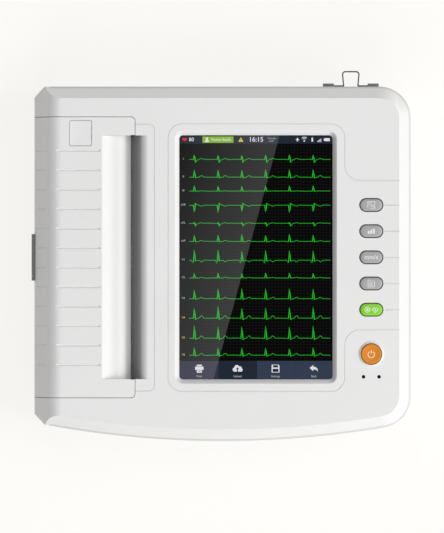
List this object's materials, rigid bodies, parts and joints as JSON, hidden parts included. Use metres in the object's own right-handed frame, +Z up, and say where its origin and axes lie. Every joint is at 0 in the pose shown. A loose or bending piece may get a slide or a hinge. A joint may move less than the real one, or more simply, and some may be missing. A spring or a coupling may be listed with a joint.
{
  "type": "ecg machine",
  "caption": "Bench-top electrocardiograph with a touch screen, a key row, a thermal printer under a hinged ribbed paper cover, and rear sockets.",
  "frame": {"origin": "on the surface that the machine stands on, under the middle of its outer box", "axes": "+X to the operator's right, +Y to the rear, +Z up out of the screen"},
  "size_m": [0.3384, 0.3302, 0.0754],
  "materials": {
    "shell": "fine satin, near white",
    "shell_lower": "fine satin, light grey",
    "panel": "satin",
    "steel": "plain",
    "battery": "shrink sleeve",
    "screen": "glossy touch panel, lit picture behind",
    "gasket": "foam",
    "sheet_steel": "zinc plated",
    "key_grey": "moulded key",
    "key_green": "moulded key",
    "key_orange": "moulded key",
    "silicone": "moulded sheet",
    "circuit": "solder mask",
    "lamp": "smoked lens",
    "black_plastic": "moulded",
    "ceramic_head": "glazed ceramic on a plate",
    "alloy": "extruded",
    "rubber": "ground smooth",
    "white_gear": "acetal",
    "brass_gear": "cut",
    "tray": "moulded",
    "paper": "thermal paper",
    "card": "rolled card",
    "hinge_metal": "satin",
    "grey_plastic": "moulded",
    "wire": "dark sprung wire",
    "port_metal": "plated shell",
    "foot_rubber": "moulded"
  },
  "bodies": {
    "case": {"top_case": "shell", "bottom_case": "shell_lower", "rear_panel": "panel", "case_screws": "steel", "battery_door": "shell_lower", "battery_pack": "battery", "touch_glass": "screen", "display_gasket": "gasket", "lcd_module": "sheet_steel", "lcd_bracket": "sheet_steel", "keypad_domes": "silicone", "keypad_board": "circuit", "status_lamp_left": "lamp", "status_lamp_right": "lamp", "main_board": "circuit", "power_supply": "circuit", "speaker": "black_plastic", "print_chassis": "sheet_steel", "head_springs": "steel", "tear_bar": "steel", "idler_axle": "steel", "feed_motor": "sheet_steel", "paper_tray": "tray", "latch_striker": "steel", "hinge_leaf_case": "hinge_metal", "hinge_pin": "steel", "mains_inlet": "black_plastic", "rear_screws": "steel", "clip_holder_left": "grey_plastic", "clip_holder_right": "grey_plastic", "patient_port": "port_metal", "data_ports": "port_metal", "foot_front_left": "foot_rubber", "foot_front_right": "foot_rubber", "foot_rear_left": "foot_rubber", "foot_rear_right": "foot_rubber"},
    "cover": {"paper_cover": "shell", "platen_bushings": "black_plastic", "latch_pin": "steel", "hinge_leaf_cover": "hinge_metal"},
    "latch": {"latch_lever": "black_plastic"},
    "button": {"release_button": "shell", "button_spring": "steel"},
    "platen": {"platen_shaft": "steel", "platen_rubber": "rubber", "platen_gear": "white_gear"},
    "idler": {"idler_gear": "white_gear"},
    "rotor": {"motor_pinion": "brass_gear"},
    "roll": {"paper_roll": "paper", "paper_core": "card", "roll_spindle": "black_plastic"},
    "head": {"print_head": "ceramic_head", "head_heatsink": "alloy"},
    "power": {"power_button": "key_orange"},
    "clip": {"cord_clip": "wire"},
    "key_lead_mode_cap": {"key_lead_mode": "key_grey"},
    "key_gain_cap": {"key_gain": "key_grey"},
    "key_speed_cap": {"key_speed": "key_grey"},
    "key_report_cap": {"key_report": "key_grey"},
    "key_start_cap": {"key_start": "key_green"}
  },
  "joints": [
    {"name": "cover_hinge", "type": "hinge", "parent": "case", "child": "cover", "pos_m": [-0.16705, -0.0013, 0.0384], "axis": [0, -1, 0], "range_deg": [0, 95]},
    {"name": "release_press", "type": "slide", "parent": "cover", "child": "button", "axis": [0, 0, -1], "range_m": [0, 0.0025], "stiffness_N_per_m": 500, "springref_m": -0.002},
    {"name": "latch_pivot", "type": "hinge", "parent": "cover", "child": "latch", "pos_m": [-0.11125, 0.1149, 0.06], "axis": [0, -1, 0], "range_deg": [0, 20]},
    {"name": "platen_spin", "type": "hinge", "parent": "cover", "child": "platen", "pos_m": [-0.08725, -0.0071, 0.047], "axis": [0, 1, 0], "continuous": true},
    {"name": "idler_spin", "type": "hinge", "parent": "case", "child": "idler", "pos_m": [-0.08518, 0.1149, 0.02779], "axis": [0, 1, 0], "continuous": true},
    {"name": "motor_spin", "type": "hinge", "parent": "case", "child": "rotor", "pos_m": [-0.06906, 0.1149, 0.02779], "axis": [0, 1, 0], "continuous": true},
    {"name": "paper_roll_spin", "type": "hinge", "parent": "case", "child": "roll", "pos_m": [-0.13275, -0.0013, 0.034], "axis": [0, 1, 0], "continuous": true},
    {"name": "head_float", "type": "slide", "parent": "case", "child": "head", "axis": [1, 0, 0], "range_m": [0, 0.0008], "stiffness_N_per_m": 2000, "springref_m": -0.002},
    {"name": "key_lead_mode_press", "type": "slide", "parent": "case", "child": "key_lead_mode_cap", "axis": [0, 0, -1], "range_m": [0, 0.0008], "stiffness_N_per_m": 300, "springref_m": -0.001},
    {"name": "key_gain_press", "type": "slide", "parent": "case", "child": "key_gain_cap", "axis": [0, 0, -1], "range_m": [0, 0.0008], "stiffness_N_per_m": 300, "springref_m": -0.001},
    {"name": "key_speed_press", "type": "slide", "parent": "case", "child": "key_speed_cap", "axis": [0, 0, -1], "range_m": [0, 0.0008], "stiffness_N_per_m": 300, "springref_m": -0.001},
    {"name": "key_report_press", "type": "slide", "parent": "case", "child": "key_report_cap", "axis": [0, 0, -1], "range_m": [0, 0.0008], "stiffness_N_per_m": 300, "springref_m": -0.001},
    {"name": "key_start_press", "type": "slide", "parent": "case", "child": "key_start_cap", "axis": [0, 0, -1], "range_m": [0, 0.0008], "stiffness_N_per_m": 300, "springref_m": -0.001},
    {"name": "power_press", "type": "slide", "parent": "case", "child": "power", "axis": [0, 0, -1], "range_m": [0, 0.0008], "stiffness_N_per_m": 300, "springref_m": -0.001},
    {"name": "cord_clip_swing", "type": "hinge", "parent": "case", "child": "clip", "pos_m": [0.11605, 0.1518, 0.05], "axis": [1, 0, 0], "range_deg": [-80, 80]}
  ],
  "couplings": [
    {"joint": "latch_pivot", "follows": "release_press", "rad_per_m": 105},
    {"joint": "idler_spin", "follows": "platen_spin", "ratio": -0.71429},
    {"joint": "motor_spin", "follows": "platen_spin", "ratio": 1.6667}
  ]
}
